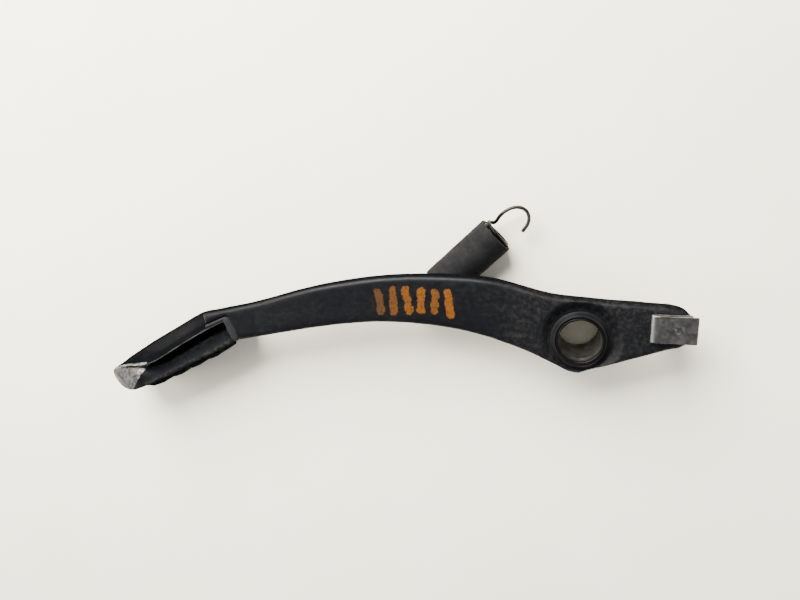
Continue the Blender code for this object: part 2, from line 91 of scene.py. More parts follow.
def smooth_curve(points, steps):
    """Points of a Catmull-Rom curve through the given points, ends included."""
    points = [Vector(point) for point in points]
    padded = [2 * points[0] - points[1], *points, 2 * points[-1] - points[-2]]
    curve = []
    for i in range(1, len(padded) - 2):
        before, start, end, after = padded[i - 1:i + 3]
        for step in range(steps):
            t = step / steps
            curve.append(0.5 * (2 * start + (end - before) * t
                                + (2 * before - 5 * start + 4 * end - after) * t ** 2
                                + (3 * start - before - 3 * end + after) * t ** 3))
    curve.append(points[-1])
    return curve


def smooth_loop(points, steps):
    """Points of a closed Catmull-Rom curve through the given points."""
    loop = smooth_curve([points[-1], *points, *points[:2]], steps)
    return loop[steps:-2 * steps]


def rounded(corners, steps=4):
    """Closed outline of (x, y, radius) corners, each rounded by about its radius."""
    outline = []
    for i, (x, y, radius) in enumerate(corners):
        here = Vector((x, y))
        if radius == 0:
            outline.append(here)
            continue
        back = Vector(corners[i - 1][:2]) - here
        on = Vector(corners[(i + 1) % len(corners)][:2]) - here
        reach = radius / math.tan(back.angle(on) / 2)
        start = here + back.normalized() * reach
        end = here + on.normalized() * reach
        for k in range(steps + 1):
            t = k / steps
            outline.append((1 - t) ** 2 * start + 2 * t * (1 - t) * here + t * t * end)
    return outline


def ring_outline(inner, outer, low, high, edge):
    """Outline of a plain ring with rounded edges, for turning about Z."""
    return rounded([(inner, low, edge), (outer, low, edge), (outer, high, edge), (inner, high, edge)])


def object_from(name, bm, sharp=math.radians(40)):
    """Turn a bmesh into a smooth-shaded object."""
    bmesh.ops.recalc_face_normals(bm, faces=bm.faces)
    mesh = bpy.data.meshes.new(name)
    bm.to_mesh(mesh)
    bm.free()
    mesh.shade_smooth()
    mesh.set_sharp_from_angle(angle=sharp)
    made = bpy.data.objects.new(name, mesh)
    bpy.context.scene.collection.objects.link(made)
    return made


def add_rings(bm, rings):
    """Skin a row of closed rings that have the same number of points, and close both ends."""
    rows = [[bm.verts.new(point) for point in ring] for ring in rings]
    count = len(rows[0])
    for here, there in zip(rows, rows[1:]):
        for k in range(count):
            bm.faces.new([here[k], there[k], there[(k + 1) % count], here[(k + 1) % count]])
    bm.faces.new(rows[0])
    bm.faces.new(rows[-1])


def turned(name, outline, sides=144):
    """Turn a closed outline of (radius, height) about Z; points at radius 0 close the ends."""
    bm = bmesh.new()
    poles = {k: bm.verts.new((0, 0, height)) for k, (radius, height) in enumerate(outline) if radius == 0}
    rings = []
    for i in range(sides):
        angle = TURN * i / sides
        x, y = math.cos(angle), math.sin(angle)
        rings.append([poles.get(k) or bm.verts.new((radius * x, radius * y, height))
                      for k, (radius, height) in enumerate(outline)])
    for i in range(sides):
        here, there = rings[i], rings[(i + 1) % sides]
        for k in range(len(outline)):
            k2 = (k + 1) % len(outline)
            corners = list(dict.fromkeys([here[k], there[k], there[k2], here[k2]]))
            if len(corners) > 2:
                bm.faces.new(corners)
    return object_from(name, bm)


def wire(name, points, radius, sides=12):
    """Round wire along a path, a little thinner at its cut ends."""
    cut_end = 0.72
    bm = bmesh.new()
    rings = []
    side = None
    last = len(points) - 1
    for i, point in enumerate(points):
        along = (points[min(i + 1, last)] - points[max(i - 1, 0)]).normalized()
        if side is None:
            side = along.orthogonal().normalized()
        side = (side - along * side.dot(along)).normalized()
        up = along.cross(side)
        reach = radius * (cut_end if i in (0, last) else 1.0)
        rings.append([point + reach * (side * math.cos(a) + up * math.sin(a))
                      for a in (TURN * k / sides for k in range(sides))])
    add_rings(bm, rings)
    return object_from(name, bm, sharp=math.radians(60))


def evaluated(piece):
    """Apply an object's modifiers to its mesh."""
    graph = bpy.context.evaluated_depsgraph_get()
    mesh = bpy.data.meshes.new_from_object(piece.evaluated_get(graph))
    piece.modifiers.clear()
    piece.data = mesh
    mesh.shade_smooth()


def remeshed(piece, voxel, smoothing):
    """Even out a piece's faces to one size and soften its edges."""
    remesh = piece.modifiers.new("remesh", "REMESH")
    remesh.mode = "VOXEL"
    remesh.voxel_size = voxel
    smooth = piece.modifiers.new("smooth", "SMOOTH")
    smooth.factor = 0.5
    smooth.iterations = smoothing
    evaluated(piece)


def copy_of(name, node):
    """Copy of a frame node's mesh, with the points that its shading split joined again."""
    bm = bmesh.new()
    bm.from_mesh(frame["nodes"][node].data)
    bmesh.ops.remove_doubles(bm, verts=bm.verts, dist=0.001 * MM)
    return object_from(name, bm)


def points_of(mesh, field="co"):
    values = np.empty(len(mesh.vertices) * 3, np.float32)
    mesh.vertices.foreach_get(field, values)
    return values.reshape(-1, 3).astype(float)


def displace(piece, heights):
    """Move every point along its normal."""
    mesh = piece.data
    moved = points_of(mesh) + points_of(mesh, "normal") * heights[:, None]
    mesh.vertices.foreach_set("co", moved.astype(np.float32).ravel())
    mesh.update()


def lumps(points, size):
    """Smooth noise from -1 to 1 with lumps about this many metres across."""
    fall, lacunarity, octaves = 1.0, 2.0, 2
    return np.array([noise.fractal(Vector(point) / size, fall, lacunarity, octaves) for point in points])


def store(piece, name, values):
    """Keep a number for each point, or one for all of them, for the material to read."""
    layer = piece.data.attributes.new(name, "FLOAT", "POINT")
    layer.data.foreach_set("value", np.full(len(layer.data), values, np.float32))


def convexity(mesh, passes=3):
    """How much the surface stands out at each point: 1 on a sharp outer edge, -1 in a corner."""
    gain = 4
    points = points_of(mesh)
    pairs = np.empty(len(mesh.edges) * 2, np.int32)
    mesh.edges.foreach_get("vertices", pairs)
    pairs = pairs.reshape(-1, 2)
    count = np.bincount(pairs.ravel(), minlength=len(points))[:, None]

    def around(values):
        total = np.zeros_like(values)
        np.add.at(total, pairs[:, 0], values[pairs[:, 1]])
        np.add.at(total, pairs[:, 1], values[pairs[:, 0]])
        return total / np.maximum(count, 1)

    reach = np.linalg.norm(points[pairs[:, 0]] - points[pairs[:, 1]], axis=1).mean()
    bulge = ((points - around(points)) * points_of(mesh, "normal")).sum(1, keepdims=True) / reach
    for _ in range(passes):
        bulge = 0.5 * bulge + 0.5 * around(bulge)
    return np.clip(bulge[:, 0] * gain, -1, 1)


# ---------------------------------------------------------------- materials

class Look:
    """One procedural material, made node by node."""

    def __init__(self, name, roughness=0.5, metallic=0.0):
        self.material = bpy.data.materials.new(name)
        self.material.use_nodes = True
        self.tree = self.material.node_tree
        self.shader = self.tree.nodes["Principled BSDF"]
        self.shader.inputs["Roughness"].default_value = roughness
        self.shader.inputs["Metallic"].default_value = metallic
        self.place = self.add("ShaderNodeTexCoord").outputs["Object"]

    def add(self, kind, **settings):
        node = self.tree.nodes.new(kind)
        for key, value in settings.items():
            setattr(node, key, value)
        return node

    def put(self, socket, value):
        if isinstance(value, bpy.types.NodeSocket):
            self.tree.links.new(value, socket)
        else:
            socket.default_value = value

    def noise(self, size, detail=3.0, rough=0.55, stretch=(1, 1, 1), turn=0.0, warp=0.0):
        """Noise from 0 to 1 with features about this many metres across."""
        mapping = self.add("ShaderNodeMapping", vector_type="TEXTURE")
        mapping.inputs["Rotation"].default_value = (0, 0, turn)
        mapping.inputs["Scale"].default_value = [size * s for s in stretch]
        self.put(mapping.inputs["Vector"], self.place)
        node = self.add("ShaderNodeTexNoise")
        self.put(node.inputs["Vector"], mapping.outputs["Vector"])
        node.inputs["Scale"].default_value = 1.0
        node.inputs["Detail"].default_value = detail
        node.inputs["Roughness"].default_value = rough
        node.inputs["Distortion"].default_value = warp
        return node.outputs["Fac"]

    def ramp(self, value, low, high, start=0.0, end=1.0):
        """Smooth step of a value from one range to another."""
        node = self.add("ShaderNodeMapRange", interpolation_type="SMOOTHSTEP")
        self.put(node.inputs["Value"], value)
        for key, number in (("From Min", low), ("From Max", high), ("To Min", start), ("To Max", end)):
            self.put(node.inputs[key], number)
        return node.outputs["Result"]

    def calc(self, operation, first, second=0.0, clamp=False):
        node = self.add("ShaderNodeMath", operation=operation, use_clamp=clamp)
        self.put(node.inputs[0], first)
        self.put(node.inputs[1], second)
        return node.outputs[0]

    def mix(self, share, first, second):
        """Blend of two colours."""
        node = self.add("ShaderNodeMix", data_type="RGBA")
        self.put(node.inputs[0], share)
        for socket, colour in ((node.inputs[6], first), (node.inputs[7], second)):
            self.put(socket, colour if isinstance(colour, bpy.types.NodeSocket) else (*colour, 1.0))
        return node.outputs[2]

    def flatness(self, low, high, start, end):
        """Smooth step over how far the surface faces along Z, up or down, in the piece's own frame."""
        facing = self.add("ShaderNodeSeparateXYZ")
        self.put(facing.inputs[0], self.add("ShaderNodeTexCoord").outputs["Normal"])
        return self.ramp(self.calc("ABSOLUTE", facing.outputs["Z"]), low, high, start, end)

    def stored(self, name):
        return self.add("ShaderNodeAttribute", attribute_name=name).outputs["Fac"]

    def bump(self, height, depth, under=None):
        """Normal from a height of 0 to 1 that stands this many metres high."""
        node = self.add("ShaderNodeBump")
        node.inputs["Distance"].default_value = depth
        self.put(node.inputs["Height"], height)
        if under is not None:
            self.put(node.inputs["Normal"], under)
        return node.outputs["Normal"]


# Workshop marker dabs on the arm: centre x and y, lean in degrees, half length, how faded
MARKER_DABS = [(-86.0, 13.0, 8, 4.2, 0.75), (-80.0, 13.5, 5, 4.8, 0.5), (-73.6, 14.2, 12, 4.6, 0.2),
               (-67.6, 14.3, 0, 4.2, 0.1), (-61.6, 14.4, -4, 3.8, 0.3), (-55.4, 13.2, 9, 4.9, 0.05)]
MARKER_HALF_WIDTH = 1.7 * MM
MARKER_ORANGE = (0.105, 0.036, 0.0040)
MARKER_FADED = (0.022, 0.013, 0.0070)


def marker_mask(look):
    """Share of marker paint, and how faded it is, from a row of leaning dabs on the arm's face."""
    wobble = look.ramp(look.noise(2.6 * MM, 3), 0.3, 0.7, -0.5 * MM, 0.5 * MM)
    mask, faded = 0.0, 0.0
    for x, y, lean, half, fade in MARKER_DABS:
        direction = Vector((math.sin(math.radians(-lean)), math.cos(math.radians(-lean)), 0))
        centre = Vector((x * MM, y * MM, 0))
        flat = look.add("ShaderNodeVectorMath", operation="MULTIPLY")
        look.put(flat.inputs[0], look.place)
        flat.inputs[1].default_value = (1, 1, 0)
        local = look.add("ShaderNodeVectorMath", operation="SUBTRACT")
        look.put(local.inputs[0], flat.outputs[0])
        local.inputs[1].default_value = centre
        along = look.add("ShaderNodeVectorMath", operation="DOT_PRODUCT")
        look.put(along.inputs[0], local.outputs[0])
        along.inputs[1].default_value = direction
        held = look.calc("MINIMUM", look.calc("MAXIMUM", along.outputs["Value"], -half * MM), half * MM)
        nearest = look.add("ShaderNodeVectorMath", operation="SCALE")
        nearest.inputs[0].default_value = direction
        look.put(nearest.inputs["Scale"], held)
        away = look.add("ShaderNodeVectorMath", operation="DISTANCE")
        look.put(away.inputs[0], local.outputs[0])
        look.put(away.inputs[1], nearest.outputs[0])
        edge = look.calc("ADD", away.outputs["Value"], wobble)
        dab = look.ramp(edge, MARKER_HALF_WIDTH - 0.25 * MM, MARKER_HALF_WIDTH + 0.2 * MM, 1.0, 0.0)
        mask = look.calc("MAXIMUM", mask, dab)
        faded = look.calc("ADD", faded, look.calc("MULTIPLY", dab, fade), clamp=True)
    height = look.add("ShaderNodeSeparateXYZ")
    look.put(height.inputs[0], look.place)
    on_face = look.ramp(height.outputs["Z"], ARM_HIGH.z - 1.2 * MM, ARM_HIGH.z - 0.6 * MM)
    return look.calc("MULTIPLY", mask, on_face), faded


# Colours: paint and its wear, bare metal and rust, weld, rubber, and light and dark tones of each steel
PAINT = (0.0018, 0.0020, 0.0027)
# Paint dust; on the pad it is also painted light, in the shaded dish and along the lower rim
PAINT_DUST_AND_LIGHT = (0.0150, 0.0147, 0.0140)
PAINT_WORN = (0.036, 0.036, 0.033)
PAINT_LIP = (0.006, 0.006, 0.006)
BARE_STEEL = (0.22, 0.214, 0.207)
BARE_STEEL_DARK = (0.13, 0.127, 0.122)
BARE_STAIN = (0.075, 0.071, 0.065)
BARE_SPECK = (0.024, 0.023, 0.021)
RUST = (0.10, 0.052, 0.026)
WELD_PAINT = (0.0065, 0.0068, 0.0076)
WELD_DUST = (0.020, 0.0195, 0.0185)
SEAL_RUBBER = (0.0042, 0.0042, 0.0046)
SEAL_DUST = (0.016, 0.0155, 0.0145)
SLEEVE_RUBBER = (0.0050, 0.0050, 0.0053)
SLEEVE_DUST = (0.014, 0.014, 0.0145)
COLLAR_TONES = ((0.23, 0.227, 0.21), (0.09, 0.087, 0.078))
# Collar rim: painted shade, dark in place of a highlight
COLLAR_RIM_SHADE = (0.012, 0.012, 0.0115)
BRONZE_TONES = ((0.42, 0.30, 0.15), (0.16, 0.11, 0.055))
WASHER_TONES = ((0.38, 0.37, 0.34), (0.13, 0.12, 0.10))
SPRING_TONES = ((0.048, 0.047, 0.042), (0.020, 0.019, 0.016))
# Spring coil: painted shade on the coil inside the sleeve
SPRING_COIL_SHADE = (0.008, 0.008, 0.0075)
PIN_TONES = ((0.42, 0.41, 0.37), (0.16, 0.15, 0.12))
CLIP_TONES = ((0.175, 0.169, 0.158), (0.092, 0.087, 0.079))
# Clip fold: painted highlight along the bend
CLIP_FOLD_HIGHLIGHT = (0.18, 0.177, 0.171)
FLOOR_TONES = ((0.94, 0.885, 0.70), (0.96, 0.91, 0.73))

# Specular level of the paint: on flat faces, in the pad, and on upright, dustier walls
PAINT_SHINE = 0.11
PAD_SHINE = 0.03
WALL_SHINE = 0.0


def paint_look(name, marks=False, bare=False, grain=0.35, shine=PAINT_SHINE):
    """Semi-gloss black paint: orange peel, dust, fine scratches, worn edges.

    Reads the stored numbers for edge wear, for dust together with painted light, and for where the metal
    shows bare.
    """
    look = Look(name)
    cloud = look.ramp(look.noise(16 * MM, 4, 0.6), 0.35, 0.7)
    grit = look.ramp(look.noise(0.55 * MM, 3, 0.7), 0.45, 0.70)
    streak = look.ramp(look.noise(1.0 * MM, 2, 0.6, stretch=(16, 0.35, 1), turn=0.15), 0.63, 0.74)
    scuff = look.ramp(look.noise(1.0 * MM, 2, 0.6, stretch=(0.3, 9, 1), turn=-0.5), 0.66, 0.78)
    # Stored dust; on the pad this number also carries painted light for the shaded dish and a painted
    # highlight on the lower rim
    dust_and_painted_light = look.stored("dust_and_painted_light")
    dust = look.calc("ADD", look.calc("MULTIPLY", cloud, 0.35), dust_and_painted_light)
    dust = look.calc("MULTIPLY", dust, 0.5, clamp=True)
    fleck = look.ramp(look.noise(2.1 * MM, 3, 0.65), 0.46, 0.62)
    spots = look.calc("ADD", look.calc("MULTIPLY", grit, 0.6), look.calc("MULTIPLY", fleck, 0.7))
    speckled = look.calc("MULTIPLY", dust, look.calc("ADD", spots, 0.1), clamp=True)
    colour = look.mix(speckled, PAINT, PAINT_DUST_AND_LIGHT)
    scratches = look.calc("MULTIPLY", look.calc("MAXIMUM", streak, scuff), cloud)
    colour = look.mix(look.calc("MULTIPLY", scratches, 0.30), colour, PAINT_WORN)

    ragged = look.calc("ADD", look.calc("MULTIPLY", look.noise(2.2 * MM, 5, 0.7), 0.9), -0.45)
    edge = look.ramp(look.calc("ADD", look.stored("edge"), ragged), 0.50, 0.85)
    colour = look.mix(look.calc("MULTIPLY", edge, 0.75), colour, PAINT_WORN)
    rough = look.calc("ADD", look.ramp(look.noise(3 * MM, 4, 0.6), 0.3, 0.7, 0.34, 0.46),
                      look.calc("MULTIPLY", speckled, 0.30))
    rough = look.calc("ADD", rough, look.calc("MULTIPLY", edge, 0.08))
    metallic = look.calc("MULTIPLY", edge, 0.1)
    peel = look.bump(look.noise(0.9 * MM, 2), 0.010 * MM)
    normal = look.bump(look.noise(0.30 * MM, 3, 0.7), grain * 0.02 * MM, peel)

    if bare:
        torn = look.calc("ADD", look.stored("bare"), look.calc("MULTIPLY", ragged, 0.7))
        metal = look.ramp(torn, 0.46, 0.56)
        lip = look.calc("MULTIPLY", look.ramp(torn, 0.34, 0.46), look.ramp(torn, 0.5, 0.6, 1.0, 0.0))
        brush = look.noise(0.5 * MM, 4, 0.7, stretch=(6, 0.6, 1), turn=0.9)
        blotch = look.noise(3.5 * MM, 5, 0.65)
        tone = look.mix(look.ramp(brush, 0.3, 0.7), BARE_STEEL_DARK, BARE_STEEL)
        tone = look.mix(look.ramp(blotch, 0.42, 0.62), tone, BARE_STAIN)
        speck = look.ramp(look.noise(0.9 * MM, 4, 0.7), 0.48, 0.60)
        tone = look.mix(look.calc("MULTIPLY", speck, 0.7), tone, BARE_SPECK)
        colour = look.mix(look.calc("MULTIPLY", lip, 0.6), colour, PAINT_LIP)
        colour = look.mix(metal, colour, tone)
        rough = look.ramp(metal, 0, 1, rough, look.ramp(blotch, 0.3, 0.7, 0.34, 0.6))
        metallic = look.calc("MAXIMUM", metallic, look.calc("MULTIPLY", metal, 0.95))
        normal = look.bump(metal, -0.05 * MM, normal)
        pits = look.calc("MULTIPLY", look.ramp(look.noise(0.8 * MM, 4, 0.7), 0.45, 0.65), metal)
        normal = look.bump(pits, 0.03 * MM, normal)

    if marks:
        mask, faded = marker_mask(look)
        cover = look.ramp(look.noise(1.1 * MM, 4, 0.65), 0.32, 0.56, 0.45, 1.0)
        ink = look.mix(faded, MARKER_ORANGE, MARKER_FADED)
        colour = look.mix(look.calc("MULTIPLY", mask, cover), colour, ink)
        normal = look.bump(mask, 0.03 * MM, normal)

    look.put(look.shader.inputs["Base Color"], colour)
    look.put(look.shader.inputs["Roughness"], look.calc("MINIMUM", rough, 1.0))
    look.put(look.shader.inputs["Metallic"], metallic)
    look.put(look.shader.inputs["Specular IOR Level"], look.flatness(0.4, 0.95, WALL_SHINE, shine))
    look.put(look.shader.inputs["Normal"], normal)
    return look.material


def steel_look(name, tones, rust=0.0, rough=(0.28, 0.5), grain=0.5 * MM, stretch=(1, 1, 1),
               place=None, painted_light_colour=(0, 0, 0)):
    """Bare or plated metal: brushed grain, stains, some rust, and a painted-light colour in a stored place:
    shade on the collar rim and the spring coil, a highlight on the clip fold.
    """
    light, dark = tones
    look = Look(name, metallic=1.0)
    brush = look.noise(grain, 4, 0.65, stretch=stretch)
    stain = look.ramp(look.noise(4.5 * MM, 5, 0.65, warp=0.6), 0.35, 0.65)
    colour = look.mix(look.ramp(brush, 0.3, 0.7), light, tuple(0.72 * c for c in light))
    colour = look.mix(stain, colour, dark)
    normal = look.bump(brush, 0.006 * MM)
    # The stored place gets a colour of painted light: shade on the collar rim and the spring coil, a
    # highlight on the clip fold
    if place is not None:
        colour = look.mix(look.stored(place), colour, painted_light_colour)
    if rust > 0:
        spots = look.ramp(look.noise(2.0 * MM, 6, 0.75, warp=0.4), 0.66 - 0.2 * rust, 0.76 - 0.1 * rust)
        colour = look.mix(look.calc("MULTIPLY", spots, 0.8), colour, RUST)
        look.put(look.shader.inputs["Metallic"], look.ramp(spots, 0, 1, 1.0, 0.2))
        normal = look.bump(spots, 0.03 * MM, normal)
    look.put(look.shader.inputs["Base Color"], colour)
    look.put(look.shader.inputs["Roughness"], look.ramp(look.noise(1.6 * MM, 4, 0.6), 0.3, 0.7, *rough))
    look.put(look.shader.inputs["Normal"], normal)
    return look.material


def rubber_look(name, colour, dust, amount, rough=(0.62, 0.82)):
    """Matte rubber with a bloom of dust and fine pores."""
    look = Look(name)
    look.shader.inputs["Specular IOR Level"].default_value = 0.06
    bloom = look.ramp(look.noise(6 * MM, 5, 0.65, warp=0.5), 0.35, 0.72)
    rubs = look.ramp(look.noise(0.8 * MM, 3, 0.7, stretch=(5, 0.5, 1), turn=0.76), 0.55, 0.75)
    share = look.calc("ADD", bloom, look.calc("MULTIPLY", rubs, 0.5))
    share = look.calc("MULTIPLY", share, amount, clamp=True)
    look.put(look.shader.inputs["Base Color"], look.mix(share, colour, dust))
    look.put(look.shader.inputs["Roughness"], look.ramp(look.noise(1.5 * MM, 4), 0.3, 0.7, *rough))
    pores = look.bump(look.noise(0.25 * MM, 3, 0.7), 0.008 * MM)
    look.put(look.shader.inputs["Normal"], look.bump(look.noise(2.6 * MM, 3), 0.05 * MM, pores))
    return look.material


def weld_look(name):
    """Painted weld bead: a fine grit noise makes it dustier, rougher and raised in the same places."""
    look = Look(name)
    look.shader.inputs["Specular IOR Level"].default_value = 0.15
    grit = look.noise(0.7 * MM, 4, 0.7)
    colour = look.mix(look.ramp(grit, 0.45, 0.8), WELD_PAINT, WELD_DUST)
    look.put(look.shader.inputs["Base Color"], colour)
    look.put(look.shader.inputs["Roughness"], look.ramp(grit, 0.3, 0.7, 0.36, 0.6))
    look.put(look.shader.inputs["Normal"], look.bump(grit, 0.03 * MM))
    return look.material


# ---------------------------------------------------------------- lever arm and pivot

def place_piece(piece, look, body, node):
    """Give a piece its material and its body, and let it stand for its frame node."""
    piece.data.materials.clear()
    piece.data.materials.append(look)
    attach(piece, body)
    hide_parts(node)


def make_arm(look):
    """Forged arm: softened edges, faint hammer lumps, a soft hollow and a rougher skin at the pivot."""
    hollow_depth, hollow_start, hollow_end = 3.0 * MM, 12.4 * MM, 18.2 * MM
    dip_place, dip_width, dip_depth = -29 * MM, 6 * MM, 0.30 * MM
    arm = copy_of("lever_arm", "pedal_arm")
    remeshed(arm, voxel=0.45 * MM, smoothing=16)
    points = points_of(arm.data)
    from_pivot = np.hypot(points[:, 0], points[:, 1])
    sunk = ARM_HIGH.z - hollow_depth * (1 - smoothstep(from_pivot, hollow_start, hollow_end))
    points[:, 2] = np.minimum(points[:, 2], sunk)
    arm.data.vertices.foreach_set("co", points.astype(np.float32).ravel())
    arm.data.update()
    normals = points_of(arm.data, "normal")
    near_pivot = smoothstep(points[:, 0], -44 * MM, -20 * MM)
    height = lumps(points, 11 * MM) * 0.10 * MM
    height += lumps(points, 2.4 * MM) * (0.015 + 0.03 * near_pivot) * MM
    dip = bell(points[:, 0] - dip_place, dip_width) * smoothstep(normals[:, 2], 0.3, 0.9)
    height -= dip_depth * dip
    displace(arm, height)
    store(arm, "edge", convexity(arm.data))
    store(arm, "dust_and_painted_light", 0.15 + 0.75 * near_pivot)
    place_piece(arm, look, "lever", "pedal_arm")


def make_boss(look):
    """Pivot tube with a seal seat at each end and a soft shoulder against the arm's face."""
    low, high = BOSS_LOW.z, BOSS_HIGH.z
    back_seat, front_seat = low + 2.8 * MM, high - 1.6 * MM
    outer, seat, bore = BOSS_HIGH.x, 12.1 * MM, 11.3 * MM
    boss = turned("pivot_tube", rounded([
        (seat, low, 0.25 * MM), (outer, low, 0.6 * MM), (outer, high - 1.4 * MM, 0),
        (outer + 0.9 * MM, high - 0.4 * MM, 0.1 * MM), (outer + 0.7 * MM, high + 0.1 * MM, 0.1 * MM),
        (outer - 0.1 * MM, high + 0.05 * MM, 0.2 * MM), (seat, high, 0.25 * MM), (seat, front_seat, 0),
        (bore, front_seat, 0.1 * MM), (bore, back_seat, 0.1 * MM), (seat, back_seat, 0)]))
    store(boss, "edge", np.where(points_of(boss.data)[:, 2] < low + 0.6 * MM, 0.35, 0.0))
    store(boss, "dust_and_painted_light", 0.4)
    place_piece(boss, look, "lever", "pivot_boss")


def bead(name, runs, up, pitch=1.5 * MM):
    """Weld bead in runs of (line, half width, height): crescent ripples, tapered ends, uneven width."""
    bm = bmesh.new()
    sides = 20
    for line, half_width, height in runs:
        rings = []
        travelled = 0.0
        length = sum((b - a).length for a, b in zip(line, line[1:]))
        for i, point in enumerate(line):
            if i:
                travelled += (point - line[i - 1]).length
            along = (line[min(i + 1, len(line) - 1)] - line[max(i - 1, 0)]).normalized()
            top = up(point).normalized()
            side = along.cross(top).normalized()
            from_end = min(travelled, length - travelled) / (1.6 * half_width)
            taper = math.sqrt(max(0.02, 1 - max(0.0, 1 - from_end) ** 2))
            uneven = 1 + 0.10 * noise.noise(point / (2.5 * MM))
            ring = []
            for k in range(sides):
                angle = TURN * k / sides
                across = math.cos(angle)
                # Each crescent trails at its sides and drops off steeply to the next
                phase = travelled / pitch + 0.55 * across ** 2
                ripple = 0.90 + 0.14 * (1 - (phase - math.floor(phase))) ** 1.4
                reach = side * across * half_width + top * math.sin(angle) * height * ripple
                ring.append(point + taper * uneven * reach)
            rings.append(ring)
        add_rings(bm, rings)
    return object_from(name, bm, sharp=math.radians(70))


def make_boss_weld(look):
    """Fillet in the corner of the pivot tube and the back of the arm."""
    radius = BOSS_HIGH.x + 0.9 * MM
    level = ARM_LOW.z - 0.9 * MM
    start, end = math.radians(-28), math.radians(208)
    steps = 260
    half_width, height = 2.1 * MM, 1.15 * MM
    line = [Vector((radius * math.cos(a), radius * math.sin(a), level))
            for a in (start + (end - start) * i / steps for i in range(steps + 1))]
    weld = bead("boss_weld_bead", [(line, half_width, height)],
                lambda p: Vector((p.x, p.y, 0)).normalized() - Vector((0, 0, 1)))
    place_piece(weld, look, "lever", "boss_weld")


def make_collar(look):
    """Loose collar with three fine grooves in its bore and a front rim darkened with painted shade."""
    low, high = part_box("pivot_collar")
    outer, bore = high.x, 9.0 * MM
    groove_depth, groove_half = 0.14 * MM, 0.30 * MM
    corners = [(bore, low.z, 0.5 * MM), (outer, low.z, 0.25 * MM), (outer, high.z, 0.25 * MM),
               (bore, high.z, 0.5 * MM)]
    for level in (24.4 * MM, 22.9 * MM, 4.6 * MM):
        corners += [(bore, level + groove_half, 0.08 * MM), (bore + groove_depth, level, 0.06 * MM),
                    (bore, level - groove_half, 0.08 * MM)]
    collar = turned("collar", rounded(corners))
    points = points_of(collar.data)
    # Painted shade: the front rim is painted nearly black instead of showing its highlight
    store(collar, "rim", smoothstep(points[:, 2], high.z - 1.6 * MM, high.z - 0.6 * MM))
    place_piece(collar, look, "collar", "pivot_collar")


def make_bushes(look):
    """Two plain bearing bushes between the tube and the collar."""
    bore, edge = 10.2 * MM, 0.3 * MM
    for node in ("bush_front", "bush_back"):
        low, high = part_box(node)
        bush = turned(node + "_bronze", ring_outline(bore, high.x, low.z, high.z, edge))
        place_piece(bush, look, "lever", node)


def make_seals(look):
    """Back: a rim, a valley and a lip on the collar. Front: a ribbed cone that rises to the collar."""
    low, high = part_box("seal_back")
    profile = [(10.15 * MM, high.z, 0.1 * MM), (high.x, high.z, 0.1 * MM), (high.x, low.z, 0.3 * MM),
               (high.x - 0.75 * MM, low.z, 0.25 * MM), (high.x - 0.95 * MM, low.z + 0.9 * MM, 0.15 * MM),
               (10.75 * MM, low.z + 0.9 * MM, 0.15 * MM), (10.05 * MM, low.z + 0.15 * MM, 0.12 * MM),
               (9.98 * MM, low.z + 0.6 * MM, 0.1 * MM)]
    place_piece(turned("seal_back_lip", rounded(profile)), look, "lever", "seal_back")
    low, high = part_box("seal_front")
    skirt = BOSS_HIGH.z + 0.3 * MM
    profile = [(10.1 * MM, low.z, 0.1 * MM), (11.8 * MM, low.z, 0.1 * MM), (11.8 * MM, skirt, 0.05 * MM),
               (high.x, skirt, 0.1 * MM), (high.x - 0.1 * MM, skirt + 0.55 * MM, 0.2 * MM),
               (11.75 * MM, skirt + 0.85 * MM, 0.2 * MM), (11.55 * MM, skirt + 1.45 * MM, 0.3 * MM),
               (10.95 * MM, high.z - 0.1 * MM, 0.3 * MM), (10.3 * MM, high.z, 0.15 * MM),
               (10.0 * MM, high.z - 0.5 * MM, 0.1 * MM)]
    place_piece(turned("seal_front_cone", rounded(profile)), look, "lever", "seal_front")


# ---------------------------------------------------------------- foot pad

PAD_ROOT = Vector((-159.5 * MM, 1.5 * MM, 0))
PAD_ANGLE = math.radians(204.8)
PAD_FLOOR = 1.2 * MM
PAD_RIM = 27.0 * MM
PAD_TOE = 71.8 * MM
TOE_ROUND = 15.0 * MM
TOE_RIM_DROP = 4.0 * MM
TOE_CORE = -3.8 * MM
TOE_UPPER_ROUND = 5.0 * MM
TOE_LOWER_ROUND = 12.0 * MM
DISH_DEPTH = 13.0 * MM
# along the pad: where the dish steps down, and where it fades out
DISH_STEP = (1.3 * MM, 3.1 * MM)
DISH_FADE = (36 * MM, 63 * MM)
# across the dish from the lower rim to the upper wall: share of its width, share of its depth
DISH_PROFILE = [(0, 0), (0.1, 0.02), (0.2, 0.06), (0.4, 0.17), (0.6, 0.36), (0.8, 0.7), (0.92, 0.98),
                (1, 0.6)]
# millimetres along the pad, then across it: rim of the upper wall, its widest point, lower wall
PAD_STATIONS = [(0.4, -0.4, 0.4, -11.6), (10, -0.7, 4.2, -12.3), (19, -1.5, 6.5, -12.8),
                (27, -2.4, 6.2, -13.3), (36, -3.7, 5.2, -13.8), (45, -4.6, 4.3, -14.2),
                (52, -3.6, 3.6, -14.4), (60, -0.8, 2.4, -14.2), (66, -0.2, 1.4, -13.9),
                (71.8, -0.2, 0.5, -13.2)]
TOOTH_PITCH = 10.6 * MM
TOOTH_LENGTH = 8.6 * MM
TOE_TOOTH_LENGTH = 13.0 * MM
TOOTH_HEIGHT = 2.3 * MM
TOOTH_LEVELS = (4 * MM, 25 * MM)
TOOTH_COUNT = 4
FIRST_TOOTH = 12.4 * MM
PAD_FORWARD = Vector((math.cos(PAD_ANGLE), math.sin(PAD_ANGLE), 0))
PAD_SIDEWAYS = Vector((PAD_FORWARD.y, -PAD_FORWARD.x, 0))
PAD_CURVE = smooth_curve([Vector((*row[:3], row[3])) for row in PAD_STATIONS], 8)


